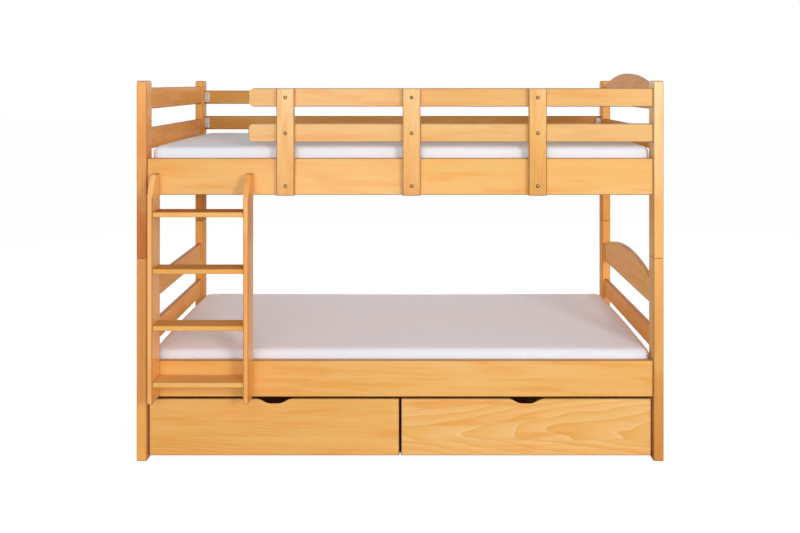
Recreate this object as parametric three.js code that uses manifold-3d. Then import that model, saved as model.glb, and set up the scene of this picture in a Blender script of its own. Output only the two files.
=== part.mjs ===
// A bunk bed in solid wood with two drawers that roll out from under it.
// Millimetres. x runs along the bed, y from its front to its back and z up from the floor.
// The origin is on the floor, in the middle of the bed's length and of its depth with the ladder.
import * as THREE from "three";
import { mergeVertices } from "three/addons/utils/BufferGeometryUtils.js";
import Module from "manifold-3d";

const wasm = await Module();
wasm.setup();

// Mattresses
const MATTRESS_LENGTH = 1996;
const MATTRESS_WIDTH = 900;
const MATTRESS_HEIGHT = 123; // at its crown
const MATTRESS_END_GAP = 2; // to the posts
const MATTRESS_SIDE_GAP = 4; // to the side rails
const MATTRESS_CORNER = 35; // radius of its corners seen from above
const MATTRESS_LEAST_CORNER = 1; // what is left of that radius on its top
const MATTRESS_EDGE = 26; // radius of its top and bottom edges
const MATTRESS_CROWN = 2; // how far the middle stands above the edge
const MATTRESS_DRAW_IN = 3; // how far a long side is drawn in half way between its corners
const MATTRESS_BULGE = 7; // how far an end swells out between the posts
const MATTRESS_CORNER_STEPS = 5; // chords in a corner seen from above
const MATTRESS_EDGE_STEPS = 4; // chords in a top or bottom edge
const MATTRESS_LONG_STEPS = 14; // chords between two corners along a long side
const MATTRESS_SHORT_STEPS = 7; // and along a short one
const MATTRESS_CROWN_RINGS = [0.15, 0.4, 0.7, 1]; // shares of the way from the edge to the ridge
const MATTRESS_RIDGE = 10; // half the width of the level ridge in the middle

// Posts
const POST_WIDTH = 40;
const POST_DEPTH = 70;
const LOWER_POST_HEIGHT = 800;
const UPPER_POST_HEIGHT = 700;
const POST_EDGE = 4; // radius of the long edges
const POST_TOP_EDGE = 13; // radius of the front and back edges at the very top
const SEAM_CHAMFER = 1.5; // on both posts where they meet
const DOWEL_RADIUS = 7;
const DOWEL_LENGTH = 45; // what stands out under an upper post
const DOWEL_CLEARANCE = 0.3;
const DOWEL_END_ROOM = 3; // depth of the hole beyond the dowel's end

// Side rails and what lies on them
const RAIL_SETBACK = 9; // of the rails and guards behind the posts' outer faces
const SIDE_RAIL_HEIGHT = 145;
const SIDE_RAIL_THICKNESS = 22;
const LOWER_RAIL_BOTTOM = 249;
const UPPER_RAIL_RISE = 248; // from the seam between the posts
const LOWER_LEDGE_RISE = 48; // from the rail's bottom edge to the ledge's top
const UPPER_LEDGE_RISE = 57;
const LEDGE_WIDTH = 25;
const LEDGE_HEIGHT = 22;
const SLAT_COUNT = 14;
const SLAT_WIDTH = 70;
const SLAT_THICKNESS = 14;
const SLAT_END_GAP = 8; // between the slats' ends and the side rails
const SLAT_ROW_MARGIN = 30; // between the first slat and the posts
const STRAP_WIDTH = 30;
const STRAP_THICKNESS = 2;
const STRAP_INSET = 70; // from the slats' ends
const STRAP_SINK = 0.5; // how far the strap is pressed into the slats

// End boards and end rails
const END_BOARD_HEIGHT = 86;
const END_BOARD_THICKNESS = 18;
const END_BOARD_INSET = 11; // from the posts' inner faces
const END_BOARD_EDGE = 4; // radius of the long edges
const LOWER_MID_BOARD_BOTTOM = 423;
const LOWER_TOP_BOARD_BOTTOM = 602;
const UPPER_MID_BOARD_RISE = 424; // from the seam between the posts
const UPPER_TOP_BOARD_RISE = 586;
const ARCH_END_HEIGHT = 86;
const ARCH_RISE = 60;
const ARCH_STEPS = 18;
const END_RAIL_HEIGHT = 120;
const END_RAIL_THICKNESS = 25;
const END_RAIL_INSET = 8;

// Front guard
const GUARD_RAIL_HEIGHT = 73;
const GUARD_RAIL_THICKNESS = 22;
const GUARD_LENGTH = 1600;
const GUARD_CORNER = 24; // radius of the free ends' corners
const GUARD_LOW_RAIL_RISE = 457; // from the seam between the posts
const GUARD_TOP_RAIL_RISE = 597;
const UPRIGHT_COUNT = 3;
const UPRIGHT_WIDTH = 70;
const UPRIGHT_THICKNESS = 24;
const UPRIGHT_PITCH = 496;
const UPRIGHT_FIRST = 149; // from the guard's free end to the first upright's middle

// Back guard
const BACK_GUARD_HEIGHT = 67;
const BACK_GUARD_THICKNESS = 22;
const BACK_GUARD_LOW_RISE = 455;
const BACK_GUARD_TOP_RISE = 584;

// Ladder
const LADDER_WIDTH = 389;
const LADDER_OFFSET = 30; // from the left posts' inner faces
const LADDER_FOOT_RISE = 8; // from the lower side rail's bottom edge
const STILE_THICKNESS = 20;
const STILE_DEPTH = 100;
const STILE_TOP_DEPTH = 50;
const STILE_TOP_RISE = 86; // from the upper side rail's bottom edge
const STILE_CUT_LENGTH = 94; // the height over which the front edge curves back
const STILE_CUT_BELLY = 24; // how far up the curve leaves the front edge straight
const STILE_TOP_ROUND = 6;
const STILE_TOP_LEAN = 1; // how far the curve starts in front of the rounded top
const STILE_CURVE_STEPS = 8;
const TREAD_COUNT = 4;
const TREAD_DEPTH = 85;
const TREAD_THICKNESS = 20;
const TREAD_SETBACK = 5; // behind the stiles' front edges
const FIRST_TREAD_RISE = 82; // from the ladder's foot to the first tread's top
const TREAD_PITCH = 218.5;

// Drawers
const DRAWER_POST_GAP = 7;
const DRAWER_MIDDLE_GAP = 8;
const DRAWER_RAIL_GAP = 7; // under the side rail
const DRAWER_RECESS = 3; // behind the side rail's front face
const DRAWER_FLOOR_GAP = 16; // under the drawer's front
const DRAWER_FRONT_THICKNESS = 20;
const DRAWER_OVERHANG = 16; // how far the front passes each side
const DRAWER_DEPTH = 850; // with its front
const DRAWER_SIDE_THICKNESS = 18;
const DRAWER_SIDE_BOTTOM = 14;
const DRAWER_SIDE_TOP = 216;
const DRAWER_BACK_THICKNESS = 18;
const DRAWER_PANEL_THICKNESS = 5;
const DRAWER_PANEL_GROOVE = 7; // depth of the grooves that hold it
const DRAWER_PANEL_PLAY = 0.3;
const PANEL_OVER_WHEEL = 4;
const SCOOP_WIDTH = 152; // at the front's top edge
const SCOOP_FLOOR = 30; // width of its level bottom
const SCOOP_DEPTH = 20; // at the front's outer face
const SCOOP_BACK_CUT = 9; // how much deeper it is at the front's inner face
const SCOOP_STEPS = 8;

// Wheels
const WHEEL_RADIUS = 25;
const WHEEL_WIDTH = 14;
const WHEEL_EDGE = 2.5;
const WHEEL_SIDES = 24;
const WHEEL_SIDE_GAP = 1; // between the tyre and the drawer's side
const WHEEL_HUB_RADIUS = 8;
const WHEEL_HUB_GAP = 0.3; // between the hub and the drawer's side
const WHEEL_PIN_RADIUS = 4;
const WHEEL_PIN_CLEARANCE = 0.3;
const WHEEL_PIN_SETBACK = 3; // from the drawer side's outer face to the pin's end
const WHEEL_INSET = 95; // from the front's and the back's inner faces

const EDGE = 3; // radius of a board's long edges
const SEAT = 0.3; // between a piece and what it lies in or on, where they aren't face to face
const ARC_STEPS = 3; // chords in a quarter circle

// Sizes that follow from those
const CLEAR_LENGTH = MATTRESS_LENGTH + 2 * MATTRESS_END_GAP;
const BED_WIDTH = MATTRESS_WIDTH + 2 * (MATTRESS_SIDE_GAP + SIDE_RAIL_THICKNESS + RAIL_SETBACK);
const FRONT = (STILE_DEPTH - RAIL_SETBACK - BED_WIDTH) / 2; // the posts' front faces
const BACK = FRONT + BED_WIDTH;
const RAIL_FRONT = FRONT + RAIL_SETBACK; // the front rails' outer faces
const RAIL_BACK = BACK - RAIL_SETBACK;
const MIDDLE = (FRONT + BACK) / 2;
const RIGHT = CLEAR_LENGTH / 2; // inner face of the right posts
const LEFT = -RIGHT;
const SEAM = LOWER_POST_HEIGHT;
const UPPER_RAIL_BOTTOM = SEAM + UPPER_RAIL_RISE;
const SIDES = [["left", -1], ["right", 1]];

const finish = (color, roughness) => new THREE.MeshStandardMaterial({ color, roughness, metalness: 0 });
const LACQUERED_WOOD = finish("#e9b173", 0.36);
const SLAT_WOOD = finish("#e3c79b", 0.7);
const DRAWER_PANEL = finish("#d9c4a2", 0.55);
const SHEET = finish("#e8e6ea", 0.9);
const WHEEL_PLASTIC = finish("#3b3b3d", 0.5);

const bed = new THREE.Group();

function place(name, geometry, material) {
  const mesh = new THREE.Mesh(geometry, material);
  mesh.name = name;
  bed.add(mesh);
  return mesh;
}

// Joins rings of points, each ring as long as the others, into a closed surface with a flat cap at each
// end. The rings go round anticlockwise when seen from the last ring's side.
function loft(rings) {
  const count = rings[0].length;
  const index = [];
  for (let r = 0; r + 1 < rings.length; r++)
    for (let i = 0; i < count; i++) {
      const a = r * count + i;
      const b = r * count + ((i + 1) % count);
      index.push(a, b, b + count, a, b + count, a + count);
    }
  const last = (rings.length - 1) * count;
  for (let i = 1; i + 1 < count; i++) {
    index.push(0, i + 1, i);
    index.push(last, last + i, last + i + 1);
  }
  const geometry = new THREE.BufferGeometry();
  geometry.setAttribute("position", new THREE.Float32BufferAttribute(rings.flat(2), 3));
  return geometry.setIndex(index);
}

// The corners of a rectangle about the origin with each corner rounded, as [u, v] pairs, anticlockwise.
function roundedRectangle(width, height, radius, steps = ARC_STEPS) {
  const points = [];
  for (let quarter = 0; quarter < 4; quarter++) {
    const su = quarter === 0 || quarter === 3 ? 1 : -1;
    const sv = quarter < 2 ? 1 : -1;
    for (let i = 0; i <= steps; i++) {
      const angle = ((quarter + i / steps) * Math.PI) / 2;
      points.push([
        su * (width / 2 - radius) + radius * Math.cos(angle),
        sv * (height / 2 - radius) + radius * Math.sin(angle),
      ]);
    }
  }
  return points;
}

// Turns an outline in the plane across an axis, and a place along that axis, into a point. The outline's
// two coordinates are y and z across x, z and x across y, and x and y across z.
const ALONG = {
  x: ([u, v], s) => [s, u, v],
  y: ([u, v], s) => [v, s, u],
  z: ([u, v], s) => [u, v, s],
};

// A plain board between two opposite corners, with its four long edges rounded along the named axis.
function board(name, axis, low, high, material = LACQUERED_WOOD, radius = EDGE) {
  const [i, j, k] = { x: [1, 2, 0], y: [2, 0, 1], z: [0, 1, 2] }[axis];
  const outline = roundedRectangle(high[i] - low[i], high[j] - low[j], radius)
    .map(([u, v]) => [u + (low[i] + high[i]) / 2, v + (low[j] + high[j]) / 2]);
  const ring = (s) => outline.map((point) => ALONG[axis](point, s));
  return place(name, loft([ring(low[k]), ring(high[k])]), material);
}

// A solid with the given outline across an axis, from one place on that axis to another.
function extruded(outline, axis, from, to) {
  const shape = new THREE.Shape(outline.map(([u, v]) => new THREE.Vector2(u, v)));
  const geometry = new THREE.ExtrudeGeometry(shape, { depth: to - from, bevelEnabled: false });
  const columns = { x: [[0, 1, 0], [0, 0, 1], [1, 0, 0]], y: [[0, 0, 1], [1, 0, 0], [0, 1, 0]] }[axis];
  const turn = new THREE.Matrix4().makeBasis(...columns.map((c) => new THREE.Vector3(...c)));
  geometry.applyMatrix4(turn);
  return geometry.translate(axis === "x" ? from : 0, axis === "y" ? from : 0, 0);
}

function solid(geometry) {
  const bare = geometry.clone();
  bare.deleteAttribute("normal");
  bare.deleteAttribute("uv");
  const merged = mergeVertices(bare, 1e-4);
  const vertProperties = merged.attributes.position.array;
  const triVerts = new Uint32Array(merged.index.array);
  return new wasm.Manifold(new wasm.Mesh({ numProp: 3, vertProperties, triVerts }));
}

function geometryOf(body) {
  const mesh = body.getMesh();
  const geometry = new THREE.BufferGeometry();
  geometry.setAttribute("position", new THREE.Float32BufferAttribute(mesh.vertProperties, 3));
  return geometry.setIndex([...mesh.triVerts]);
}

function box(low, high) {
  const size = high.map((value, i) => value - low[i]);
  const centre = high.map((value, i) => (value + low[i]) / 2);
  return new THREE.BoxGeometry(...size).translate(...centre);
}

// Posts: the upper one stands on the lower one and is held by a dowel in its foot.

function circleLike(outline, radius) {
  return outline.map(([u, v]) => {
    const angle = Math.atan2(v, u);
    return [radius * Math.cos(angle), radius * Math.sin(angle)];
  });
}

const POST_OUTLINE = roundedRectangle(POST_WIDTH, POST_DEPTH, POST_EDGE);

// The post's outline drawn in from its faces, by one amount across the bed's length and one along it.
function drawnIn(fromSides, fromFaces = fromSides) {
  return POST_OUTLINE.map(([u, v]) => [
    u * (1 - (2 * fromSides) / POST_WIDTH),
    v * (1 - (2 * fromFaces) / POST_DEPTH),
  ]);
}

function lowerPost(name, x, y) {
  const hole = circleLike(POST_OUTLINE, DOWEL_RADIUS + DOWEL_CLEARANCE);
  const level = (points, z) => points.map(([u, v]) => [x + u, y + v, z]);
  place(name, loft([
    level(POST_OUTLINE, 0), level(POST_OUTLINE, SEAM - SEAM_CHAMFER), level(drawnIn(SEAM_CHAMFER), SEAM),
    level(hole, SEAM), level(hole, SEAM - DOWEL_LENGTH - DOWEL_END_ROOM),
  ]), LACQUERED_WOOD);
}

function upperPost(name, x, y) {
  const dowel = circleLike(POST_OUTLINE, DOWEL_RADIUS);
  const level = (points, z) => points.map(([u, v]) => [x + u, y + v, z]);
  const top = SEAM + UPPER_POST_HEIGHT;
  const rings = [level(dowel, SEAM - DOWEL_LENGTH), level(dowel, SEAM), level(drawnIn(SEAM_CHAMFER), SEAM),
    level(POST_OUTLINE, SEAM + SEAM_CHAMFER)];
  const steps = 2 * ARC_STEPS;
  for (let i = 0; i <= steps; i++) {
    const angle = (i / steps) * (Math.PI / 2);
    const inset = 1 - Math.cos(angle);
    rings.push(level(drawnIn(POST_EDGE * inset, POST_TOP_EDGE * inset),
      top - POST_TOP_EDGE * (1 - Math.sin(angle))));
  }
  place(name, loft(rings), LACQUERED_WOOD);
}

for (const [side, sx] of SIDES)
  for (const [row, y] of [["front", FRONT + POST_DEPTH / 2], ["back", BACK - POST_DEPTH / 2]]) {
    const x = sx * (RIGHT + POST_WIDTH / 2);
    lowerPost(`post_lower_${row}_${side}`, x, y);
    upperPost(`post_upper_${row}_${side}`, x, y);
  }

// Side rails, each with the ledge that carries the slats.

function sideRail(name, bottom, ledgeTop, outer, inward) {
  const inner = outer + inward * SIDE_RAIL_THICKNESS;
  const lip = inner + inward * LEDGE_WIDTH;
  const top = bottom + SIDE_RAIL_HEIGHT;
  const outline = [
    [outer, bottom + EDGE], [outer + inward * EDGE, bottom], [inner, bottom],
    [inner, ledgeTop - LEDGE_HEIGHT], [lip, ledgeTop - LEDGE_HEIGHT], [lip, ledgeTop], [inner, ledgeTop],
    [inner, top - EDGE], [inner - inward * EDGE, top], [outer + inward * EDGE, top], [outer, top - EDGE],
  ];
  place(name, extruded(outline, "x", LEFT, RIGHT), LACQUERED_WOOD);
}

const BEDS = [
  { bunk: "lower", railBottom: LOWER_RAIL_BOTTOM, ledgeRise: LOWER_LEDGE_RISE,
    midBoard: LOWER_MID_BOARD_BOTTOM, topBoard: LOWER_TOP_BOARD_BOTTOM },
  { bunk: "upper", railBottom: UPPER_RAIL_BOTTOM, ledgeRise: UPPER_LEDGE_RISE,
    midBoard: SEAM + UPPER_MID_BOARD_RISE, topBoard: SEAM + UPPER_TOP_BOARD_RISE },
];

for (const { bunk, railBottom, ledgeRise } of BEDS) {
  sideRail(`${bunk}_front_rail`, railBottom, railBottom + ledgeRise, RAIL_FRONT, 1);
  sideRail(`${bunk}_back_rail`, railBottom, railBottom + ledgeRise, RAIL_BACK, -1);
}

// Ends: a cross rail low down, and two boards above it, of which the right end's upper one is arched.

const END_FRONT = FRONT + POST_DEPTH;
const END_BACK = BACK - POST_DEPTH;

function acrossEnd(sx, inset, thickness) {
  const near = sx * (RIGHT + inset);
  const far = sx * (RIGHT + inset + thickness);
  return [Math.min(near, far), Math.max(near, far)];
}

function endRail(name, sx, bottom) {
  const [x0, x1] = acrossEnd(sx, END_RAIL_INSET, END_RAIL_THICKNESS);
  board(name, "y", [x0, END_FRONT, bottom], [x1, END_BACK, bottom + END_RAIL_HEIGHT]);
}

function endBoard(name, sx, bottom) {
  const [x0, x1] = acrossEnd(sx, END_BOARD_INSET, END_BOARD_THICKNESS);
  board(name, "y", [x0, END_FRONT, bottom], [x1, END_BACK, bottom + END_BOARD_HEIGHT], LACQUERED_WOOD,
    END_BOARD_EDGE);
}

function archedBoard(name, sx, bottom) {
  const [x0, x1] = acrossEnd(sx, END_BOARD_INSET, END_BOARD_THICKNESS);
  const half = (END_BACK - END_FRONT) / 2;
  const outline = [[END_FRONT, bottom], [END_BACK, bottom]];
  for (let i = 0; i <= ARCH_STEPS; i++) {
    const across = 1 - (2 * i) / ARCH_STEPS;
    outline.push([MIDDLE + half * across, bottom + ARCH_END_HEIGHT + ARCH_RISE * (1 - across ** 2)]);
  }
  place(name, extruded(outline, "x", x0, x1), LACQUERED_WOOD);
}

for (const { bunk, railBottom, midBoard, topBoard } of BEDS) {
  for (const [side, sx] of SIDES) {
    endRail(`${bunk}_${side}_end_rail`, sx, railBottom);
    endBoard(`${bunk}_${side}_mid_board`, sx, midBoard);
  }
  endBoard(`${bunk}_left_top_board`, -1, topBoard);
  archedBoard(`${bunk}_right_arch_board`, 1, topBoard);
}

// Slatted bases: slats held at their pitch by two straps underneath.

const SLAT_LENGTH = RAIL_BACK - RAIL_FRONT - 2 * (SIDE_RAIL_THICKNESS + SLAT_END_GAP);

function slattedBase(name, bottom) {
  const first = LEFT + SLAT_ROW_MARGIN;
  const pitch = (CLEAR_LENGTH - 2 * SLAT_ROW_MARGIN - SLAT_WIDTH) / (SLAT_COUNT - 1);
  const front = MIDDLE - SLAT_LENGTH / 2;
  const back = MIDDLE + SLAT_LENGTH / 2;
  let base = null;
  for (let i = 0; i < SLAT_COUNT; i++) {
    const x = first + i * pitch;
    const slat = solid(box([x, front, bottom], [x + SLAT_WIDTH, back, bottom + SLAT_THICKNESS]));
    base = base ? base.add(slat) : slat;
  }
  for (const y of [front + STRAP_INSET, back - STRAP_INSET - STRAP_WIDTH])
    base = base.add(solid(box([first, y, bottom - STRAP_THICKNESS],
      [first + (SLAT_COUNT - 1) * pitch + SLAT_WIDTH, y + STRAP_WIDTH, bottom + STRAP_SINK])));
  place(name, geometryOf(base), SLAT_WOOD);
}

// Mattresses: soft edges, a low crown, long sides drawn in a little and ends that swell out.

// The mattress's outline seen from above, moved in from its faces. Each side follows a half wave.
function mattressOutline(inset) {
  const corners = roundedRectangle(MATTRESS_LENGTH - 2 * inset, MATTRESS_WIDTH - 2 * inset,
    Math.max(MATTRESS_CORNER - inset, MATTRESS_LEAST_CORNER), MATTRESS_CORNER_STEPS);
  const perCorner = MATTRESS_CORNER_STEPS + 1;
  const points = [];
  corners.forEach(([u, v], i) => {
    points.push([u, v]);
    if ((i + 1) % perCorner !== 0) return;
    const [nextU, nextV] = corners[(i + 1) % corners.length];
    const long = Math.abs(nextU - u) > Math.abs(nextV - v);
    const steps = long ? MATTRESS_LONG_STEPS : MATTRESS_SHORT_STEPS;
    for (let step = 1; step < steps; step++) {
      const t = step / steps;
      const wave = Math.sin(Math.PI * t);
      points.push([
        u + (nextU - u) * t + (long ? 0 : Math.sign(u) * MATTRESS_BULGE * wave),
        v + (nextV - v) * t - (long ? Math.sign(v) * MATTRESS_DRAW_IN * wave : 0),
      ]);
    }
  });
  return points;
}

function mattress(name, bottom) {
  const ring = (inset, z) => mattressOutline(inset).map(([u, v]) => [u, MIDDLE + v, bottom + z]);
  const shoulder = MATTRESS_HEIGHT - MATTRESS_CROWN;
  const angles = Array.from({ length: MATTRESS_EDGE_STEPS + 1 },
    (_, i) => ((i / MATTRESS_EDGE_STEPS) * Math.PI) / 2);
  const eased = (part) => MATTRESS_EDGE * (1 - part);
  const toRidge = MATTRESS_WIDTH / 2 - MATTRESS_RIDGE - MATTRESS_EDGE;
  const rings = [
    ...angles.map((angle) => ring(eased(Math.sin(angle)), eased(Math.cos(angle)))),
    ...angles.map((angle) => ring(eased(Math.cos(angle)), shoulder - eased(Math.sin(angle)))),
    ...MATTRESS_CROWN_RINGS.map((share) =>
      ring(MATTRESS_EDGE + toRidge * share, shoulder + MATTRESS_CROWN * (1 - (1 - share) ** 2))),
  ];
  place(name, loft(rings), SHEET);
}

for (const { bunk, railBottom, ledgeRise } of BEDS) {
  const slats = railBottom + ledgeRise + SEAT;
  slattedBase(`${bunk}_slatted_base`, slats);
  mattress(`${bunk}_mattress`, slats + SLAT_THICKNESS + SEAT);
}

// Front guard: two rails in the side rail's plane, with free rounded ends at the left, and uprights that
// are screwed on over them and over the side rail.

const GUARD_LEFT = RIGHT - GUARD_LENGTH;

function guardRail(name, bottom) {
  const top = bottom + GUARD_RAIL_HEIGHT;
  const outline = [[bottom, RIGHT], [bottom, GUARD_LEFT + GUARD_CORNER]];
  const steps = 2 * ARC_STEPS;
  for (let i = 1; i <= steps; i++) {
    const angle = (i / steps) * (Math.PI / 2);
    outline.push([bottom + GUARD_CORNER * (1 - Math.cos(angle)),
      GUARD_LEFT + GUARD_CORNER * (1 - Math.sin(angle))]);
  }
  for (let i = 0; i <= steps; i++) {
    const angle = (i / steps) * (Math.PI / 2);
    outline.push([top - GUARD_CORNER * (1 - Math.sin(angle)),
      GUARD_LEFT + GUARD_CORNER * (1 - Math.cos(angle))]);
  }
  outline.push([top, RIGHT]);
  place(name, extruded(outline.reverse(), "y", RAIL_FRONT, RAIL_FRONT + GUARD_RAIL_THICKNESS),
    LACQUERED_WOOD);
}

guardRail("guard_front_low_rail", SEAM + GUARD_LOW_RAIL_RISE);
guardRail("guard_front_top_rail", SEAM + GUARD_TOP_RAIL_RISE);

for (let i = 0; i < UPRIGHT_COUNT; i++) {
  const x = GUARD_LEFT + UPRIGHT_FIRST + i * UPRIGHT_PITCH;
  const top = SEAM + GUARD_TOP_RAIL_RISE + GUARD_RAIL_HEIGHT;
  board(`guard_upright_${i + 1}`, "z",
    [x - UPRIGHT_WIDTH / 2, RAIL_FRONT - UPRIGHT_THICKNESS, UPPER_RAIL_BOTTOM],
    [x + UPRIGHT_WIDTH / 2, RAIL_FRONT, top]);
}

for (const [level, rise] of [["low", BACK_GUARD_LOW_RISE], ["top", BACK_GUARD_TOP_RISE]])
  board(`guard_back_${level}_rail`, "x", [LEFT, RAIL_BACK - BACK_GUARD_THICKNESS, SEAM + rise],
    [RIGHT, RAIL_BACK, SEAM + rise + BACK_GUARD_HEIGHT]);

// Ladder: two stiles against the front rails, their front edges curved back at the top, and the treads.

const LADDER_LEFT = LEFT + LADDER_OFFSET;
const LADDER_FOOT = LOWER_RAIL_BOTTOM + LADDER_FOOT_RISE;
const LADDER_TOP = UPPER_RAIL_BOTTOM + STILE_TOP_RISE;
const STILE_FRONT = RAIL_FRONT - STILE_DEPTH;

function stile(name, x) {
  const cut = LADDER_TOP - STILE_CUT_LENGTH;
  const shape = new THREE.Path();
  const tip = RAIL_FRONT - STILE_TOP_DEPTH;
  shape.moveTo(RAIL_FRONT, LADDER_FOOT);
  shape.lineTo(RAIL_FRONT, LADDER_TOP);
  shape.lineTo(tip + STILE_TOP_ROUND, LADDER_TOP);
  shape.quadraticCurveTo(tip, LADDER_TOP, tip - STILE_TOP_LEAN, LADDER_TOP - STILE_TOP_ROUND);
  shape.quadraticCurveTo(STILE_FRONT, cut + STILE_CUT_BELLY, STILE_FRONT, cut);
  shape.lineTo(STILE_FRONT, LADDER_FOOT);
  const outline = shape.getPoints(STILE_CURVE_STEPS).map((point) => [point.x, point.y]);
  place(name, extruded(outline.reverse(), "x", x, x + STILE_THICKNESS), LACQUERED_WOOD);
}

stile("ladder_stile_left", LADDER_LEFT);
stile("ladder_stile_right", LADDER_LEFT + LADDER_WIDTH - STILE_THICKNESS);

for (let i = 0; i < TREAD_COUNT; i++) {
  const top = LADDER_FOOT + FIRST_TREAD_RISE + i * TREAD_PITCH;
  const front = STILE_FRONT + TREAD_SETBACK;
  board(`ladder_tread_${i + 1}`, "x", [LADDER_LEFT + STILE_THICKNESS, front, top - TREAD_THICKNESS],
    [LADDER_LEFT + LADDER_WIDTH - STILE_THICKNESS, front + TREAD_DEPTH, top]);
}

// Drawers: an open box on four wheels, with its bottom panel in grooves and a hand-hold in its front.

const DRAWER_FRONT_WIDTH = (CLEAR_LENGTH - 2 * DRAWER_POST_GAP - DRAWER_MIDDLE_GAP) / 2;
const DRAWER_FRONT_TOP = LOWER_RAIL_BOTTOM - DRAWER_RAIL_GAP;
const DRAWER_FACE = RAIL_FRONT + DRAWER_RECESS;
const DRAWER_INSIDE = DRAWER_FACE + DRAWER_FRONT_THICKNESS;
const DRAWER_REAR = DRAWER_FACE + DRAWER_DEPTH;
const PANEL_BOTTOM = 2 * WHEEL_RADIUS + PANEL_OVER_WHEEL;
const PANEL_TOP = PANEL_BOTTOM + DRAWER_PANEL_THICKNESS;
const GROOVE = [PANEL_BOTTOM - DRAWER_PANEL_PLAY, PANEL_TOP + DRAWER_PANEL_PLAY];
const WHEEL_ROWS = [["front", DRAWER_INSIDE + WHEEL_INSET],
  ["back", DRAWER_REAR - DRAWER_BACK_THICKNESS - WHEEL_INSET]];

// The hand-hold's cutter: a level floor with a shoulder at each side that eases into the top edge. It
// gets deeper from the front's outer face to its inner one, so that fingers find an edge to pull on.
function scoopCutter(x, top) {
  const ring = (y) => {
    const slope = SCOOP_BACK_CUT / DRAWER_FRONT_THICKNESS;
    const depth = SCOOP_DEPTH + slope * (y - DRAWER_FACE);
    const points = [];
    for (const s of [-1, 1])
      for (let i = 0; i <= SCOOP_STEPS; i++) {
        const t = s < 0 ? i / SCOOP_STEPS : 1 - i / SCOOP_STEPS;
        const across = SCOOP_WIDTH / 2 + (SCOOP_FLOOR / 2 - SCOOP_WIDTH / 2) * t;
        points.push([x + s * across, y, top - (depth * (1 - Math.cos(Math.PI * t))) / 2]);
      }
    points.push([x + SCOOP_WIDTH / 2, y, top + SCOOP_DEPTH], [x - SCOOP_WIDTH / 2, y, top + SCOOP_DEPTH]);
    return points;
  };
  return loft([ring(DRAWER_INSIDE + EDGE), ring(DRAWER_FACE - EDGE)]);
}

function wheelProfile() {
  const pinEnd = -(DRAWER_SIDE_THICKNESS - WHEEL_PIN_SETBACK);
  const tyre = WHEEL_SIDE_GAP;
  const outer = tyre + WHEEL_WIDTH;
  return [
    [0, pinEnd], [WHEEL_PIN_RADIUS, pinEnd], [WHEEL_PIN_RADIUS, WHEEL_HUB_GAP],
    [WHEEL_HUB_RADIUS, WHEEL_HUB_GAP], [WHEEL_HUB_RADIUS, tyre], [WHEEL_RADIUS - WHEEL_EDGE, tyre],
    [WHEEL_RADIUS, tyre + WHEEL_EDGE], [WHEEL_RADIUS, outer - WHEEL_EDGE],
    [WHEEL_RADIUS - WHEEL_EDGE, outer], [0, outer],
  ].map(([r, s]) => new THREE.Vector2(r, s));
}

function drawer(side, x0) {
  const x1 = x0 + DRAWER_FRONT_WIDTH;
  const name = `drawer_${side}`;
  const outer = [x0 + DRAWER_OVERHANG, x1 - DRAWER_OVERHANG];
  const inner = [outer[0] + DRAWER_SIDE_THICKNESS, outer[1] - DRAWER_SIDE_THICKNESS];
  const middle = (x0 + x1) / 2;

  const grooveFloor = DRAWER_INSIDE - DRAWER_PANEL_GROOVE;
  const faceOutline = [
    [DRAWER_FACE, DRAWER_FLOOR_GAP + EDGE], [DRAWER_FACE + EDGE, DRAWER_FLOOR_GAP],
    [DRAWER_INSIDE, DRAWER_FLOOR_GAP], [DRAWER_INSIDE, GROOVE[0]], [grooveFloor, GROOVE[0]],
    [grooveFloor, GROOVE[1]], [DRAWER_INSIDE, GROOVE[1]], [DRAWER_INSIDE, DRAWER_FRONT_TOP],
    [DRAWER_FACE + EDGE, DRAWER_FRONT_TOP], [DRAWER_FACE, DRAWER_FRONT_TOP - EDGE],
  ];
  const face = solid(extruded(faceOutline, "x", x0, x1))
    .subtract(solid(scoopCutter(middle, DRAWER_FRONT_TOP)));
  place(`${name}_front`, geometryOf(face), LACQUERED_WOOD);

  for (const [end, sx] of SIDES) {
    const [out, into] = sx < 0 ? [outer[0], inner[0]] : [outer[1], inner[1]];
    const groove = into + sx * DRAWER_PANEL_GROOVE;
    const outline = [
      [DRAWER_SIDE_BOTTOM, out], [DRAWER_SIDE_BOTTOM, into], [GROOVE[0], into], [GROOVE[0], groove],
      [GROOVE[1], groove], [GROOVE[1], into], [DRAWER_SIDE_TOP, into], [DRAWER_SIDE_TOP, out],
    ];
    let wall = solid(extruded(sx < 0 ? outline.reverse() : outline, "y", DRAWER_INSIDE, DRAWER_REAR));
    for (const [row, y] of WHEEL_ROWS) {
      const bore = new THREE.CylinderGeometry(WHEEL_PIN_RADIUS + WHEEL_PIN_CLEARANCE,
        WHEEL_PIN_RADIUS + WHEEL_PIN_CLEARANCE, 3 * DRAWER_SIDE_THICKNESS, WHEEL_SIDES);
      bore.rotateZ(Math.PI / 2).translate((out + into) / 2, y, WHEEL_RADIUS);
      wall = wall.subtract(solid(bore));
      const wheel = place(`${name}_wheel_${row}_${end}`,
        new THREE.LatheGeometry(wheelProfile(), WHEEL_SIDES), WHEEL_PLASTIC);
      wheel.position.set(into, y, WHEEL_RADIUS);
      wheel.rotation.z = (sx * Math.PI) / 2;
    }
    place(`${name}_side_${end}`, geometryOf(wall), LACQUERED_WOOD);
  }

  board(`${name}_back`, "x", [inner[0], DRAWER_REAR - DRAWER_BACK_THICKNESS, GROOVE[1]],
    [inner[1], DRAWER_REAR, DRAWER_SIDE_TOP]);
  const tuck = DRAWER_PANEL_GROOVE - DRAWER_PANEL_PLAY;
  place(`${name}_bottom`, box([inner[0] - tuck, DRAWER_INSIDE - tuck, PANEL_BOTTOM],
    [inner[1] + tuck, DRAWER_REAR, PANEL_TOP]), DRAWER_PANEL);
}

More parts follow.
